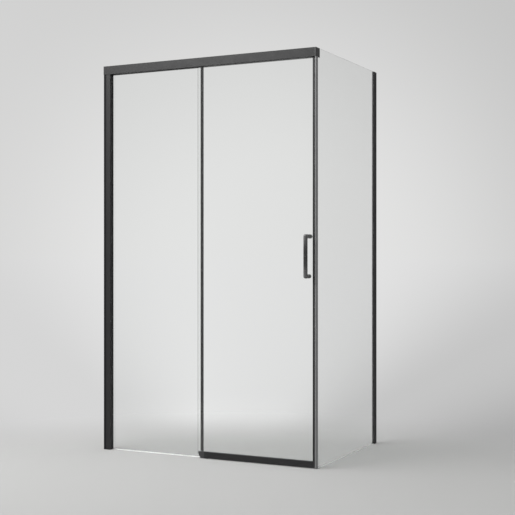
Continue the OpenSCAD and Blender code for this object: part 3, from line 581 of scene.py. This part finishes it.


# The bar, the knob and the cap are satin black like the other coats, but their coat is painted a lighter
# grey: a painted sheen.
handle_painted_sheen_coat = powder_coat("handle_painted_sheen_coat", (0.105, 0.105, 0.106), roughness=0.34)
round_bar("outer_bar", "outer_handle")
turned_end("turned_knob", "inner_knob")
turned_end("turned_cap", "inner_cap")
dress(black_rubber, "handle_washers")
dress(stainless, "handle_studs")


# Door buffer: a turned rubber bumper with a rounded face. Its stem is pushed through the side of the
# front wall profile, under the rail, where the open door comes to rest.

BUFFER_STEM_R = 0.002
BUFFER_STEM_LEN = 0.0036
BUFFER_FLAT_R = 0.0025
BUFFER_EDGE_H = 0.0025
BUFFER_SIDES = 32
BUFFER_ARC_STEPS = 6


def door_bumper(name, node):
    """The bumper in the box of its CAD node, with its stem towards the wall."""
    low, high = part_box(node)
    radius = (high.z - low.z) / 2
    seat_x = low.x + BUFFER_STEM_LEN
    bm = bmesh.new()
    profile = [(0, -BUFFER_STEM_LEN), (BUFFER_STEM_R, -BUFFER_STEM_LEN), (BUFFER_STEM_R, 0), (radius, 0)]
    profile += quarter_round(BUFFER_FLAT_R, radius, BUFFER_EDGE_H, high.x - seat_x, BUFFER_ARC_STEPS)
    profile.append((0, high.x - seat_x))
    spin_profile(bm, profile, BUFFER_SIDES)
    sideways = Matrix.Rotation(math.radians(90), 4, "Y")
    middle = (seat_x, (low.y + high.y) / 2, (low.z + high.z) / 2)
    bmesh.ops.transform(bm, matrix=Matrix.Translation(middle) @ sideways, verts=bm.verts)
    stand_in(finish_mesh(name, bm, black_rubber), node, "frame")


door_bumper("rounded_door_buffer", "door_buffer")


# The studio: a soft grey surround that is brighter behind the object, with sheens high above its front, a
# pale floor that fades into it beyond the object, so that no horizon shows, and two soft lamps at the
# front left, a high and a low one.

SURROUND = 0.42
SURROUND_TINT = (1, 1, 0.995)
# Where the surround is brighter or darker: the way to it, the angles in degrees up to which it is full
# and at which it has faded out, and what it adds
BACKDROP_GLOWS = [
    ((-0.10, 1.0, 0.0), 60, 100, 0.14),
    ((-0.71, 0.71, 0.0), 4, 36, 0.11),
    ((-0.42, 0.91, 0.0), 4, 18, 0.17),
    ((0.71, 0.71, 0.0), 26, 52, -0.15),
]
# Sheens for the coats to mirror. They end above the horizon, so the floor does without them.
CEILING_GLOWS = [
    ((-0.885, -0.46, 0.90), 8, 40, 1.6),
    ((-0.45, -0.88, 1.0), 10, 42, 0.9),
    ((0.0, -0.2, 1.0), 10, 65, 0.8),
]

FLOOR_COLOUR = (0.37, 0.37, 0.367)
# So wide that the edge of the floor lies on the horizon
FLOOR_SIZE = 1000.0
# The place that the floor fades away from, and where the fade starts and ends
FADE_MIDDLE = (0.5, -1.2, 0.0)
FADE_START, FADE_END = 1.3, 2.6
# A lamp's name, its place, what it points at, its width and height, its power in watts, and whether
# the coats show its sheen. The high lamp stands too high for the panes to mirror it.
LAMPS = [
    ("high_lamp", (-1.0, -2.2, 3.1), (0, -0.3, 1.5), (1.6, 1.4), 58, True),
    ("side_lamp", (-2.7, -1.7, 1.3), (0, -0.3, 1.1), (0.8, 2.2), 36, False),
]


def studio_brightness(nodes, links, direction, glows):
    """How bright the studio is in the direction that a socket gives."""
    base = nodes.new("ShaderNodeValue")
    base.outputs["Value"].default_value = SURROUND
    total = base.outputs["Value"]
    for towards, full, faded, gain in glows:
        facing = nodes.new("ShaderNodeVectorMath")
        facing.operation = "DOT_PRODUCT"
        facing.inputs[1].default_value = Vector(towards).normalized()
        angle = nodes.new("ShaderNodeMath")
        angle.operation = "ARCCOSINE"
        glow = nodes.new("ShaderNodeMapRange")
        glow.interpolation_type = "SMOOTHSTEP"
        glow.inputs["From Min"].default_value = math.radians(faded)
        glow.inputs["From Max"].default_value = math.radians(full)
        glow.inputs["To Max"].default_value = gain
        links.new(direction, facing.inputs[0])
        links.new(facing.outputs["Value"], angle.inputs[0])
        links.new(angle.outputs["Value"], glow.inputs["Value"])
        add = nodes.new("ShaderNodeMath")
        links.new(total, add.inputs[0])
        links.new(glow.outputs["Result"], add.inputs[1])
        total = add.outputs["Value"]
    return total


def light_surround():
    """The world: the studio's brightness all round."""
    world = bpy.data.worlds.new("studio")
    world.use_nodes = True
    nodes, links = world.node_tree.nodes, world.node_tree.links
    way = nodes.new("ShaderNodeTexCoord")
    brightness = studio_brightness(nodes, links, way.outputs["Generated"], BACKDROP_GLOWS + CEILING_GLOWS)
    nodes["Background"].inputs["Color"].default_value = (*SURROUND_TINT, 1)
    links.new(brightness, nodes["Background"].inputs["Strength"])
    bpy.context.scene.world = world


def soft_lamp(name, place, target, size, power, sheen):
    """A rectangular soft box that points at a place, with or without a sheen on what it lights."""
    light = bpy.data.lights.new(name, "AREA")
    light.shape = "RECTANGLE"
    light.size, light.size_y = size
    light.energy = power
    lamp = bpy.data.objects.new(name, light)
    lamp.location = place
    lamp.rotation_euler = (Vector(target) - Vector(place)).to_track_quat("-Z", "Y").to_euler()
    lamp.visible_camera = False
    lamp.visible_transmission = False
    lamp.visible_glossy = sheen
    bpy.context.scene.collection.objects.link(lamp)


def studio_floor():
    """The floor: a plain pale surface near the object, and the surround's own brightness far away."""
    material = bpy.data.materials.new("studio_floor")
    material.use_nodes = True
    nodes, links = material.node_tree.nodes, material.node_tree.links
    nodes.remove(nodes["Principled BSDF"])
    place = nodes.new("ShaderNodeTexCoord")
    offset = nodes.new("ShaderNodeVectorMath")
    offset.operation = "SUBTRACT"
    offset.inputs[1].default_value = FADE_MIDDLE
    way = nodes.new("ShaderNodeVectorMath")
    way.operation = "NORMALIZE"
    away = nodes.new("ShaderNodeVectorMath")
    away.operation = "LENGTH"
    links.new(place.outputs["Object"], offset.inputs[0])
    links.new(offset.outputs["Vector"], way.inputs[0])
    links.new(offset.outputs["Vector"], away.inputs[0])
    fade = nodes.new("ShaderNodeMapRange")
    fade.interpolation_type = "SMOOTHSTEP"
    fade.inputs["From Min"].default_value = FADE_START
    fade.inputs["From Max"].default_value = FADE_END
    paint = nodes.new("ShaderNodeBsdfDiffuse")
    paint.inputs["Color"].default_value = (*FLOOR_COLOUR, 1)
    shine = nodes.new("ShaderNodeEmission")
    blend = nodes.new("ShaderNodeMixShader")
    brightness = studio_brightness(nodes, links, way.outputs["Vector"], BACKDROP_GLOWS)
    links.new(away.outputs["Value"], fade.inputs["Value"])
    links.new(brightness, shine.inputs["Strength"])
    links.new(fade.outputs["Result"], blend.inputs[0])
    links.new(paint.outputs["BSDF"], blend.inputs[1])
    links.new(shine.outputs["Emission"], blend.inputs[2])
    links.new(blend.outputs["Shader"], nodes["Material Output"].inputs["Surface"])

    bm = bmesh.new()
    bmesh.ops.create_grid(bm, x_segments=1, y_segments=1, size=FLOOR_SIZE / 2)
    floor = finish_mesh("floor", bm, material)


light_surround()
studio_floor()
for lamp_values in LAMPS:
    soft_lamp(*lamp_values)


# Camera: level, at the photograph's place to the front right, one metre above the floor. Its angle and
# lens come from the corners and the long edges of the object in the photograph.

CAMERA_PLACE = (2.666, -5.150, 1.002)
# Degrees that the camera turns from facing the front squarely
CAMERA_TURN = 26.49
FOCAL_PIXELS = 1094.3
PHOTO_PIXELS = 515

lens = bpy.data.cameras.new("photo_camera")
lens.lens = FOCAL_PIXELS / PHOTO_PIXELS * lens.sensor_width
camera = bpy.data.objects.new("photo_camera", lens)
camera.location = CAMERA_PLACE
camera.rotation_euler = (math.radians(90), 0, math.radians(CAMERA_TURN))
bpy.context.scene.collection.objects.link(camera)
bpy.context.scene.camera = camera
bpy.context.scene.view_settings.view_transform = "Standard"
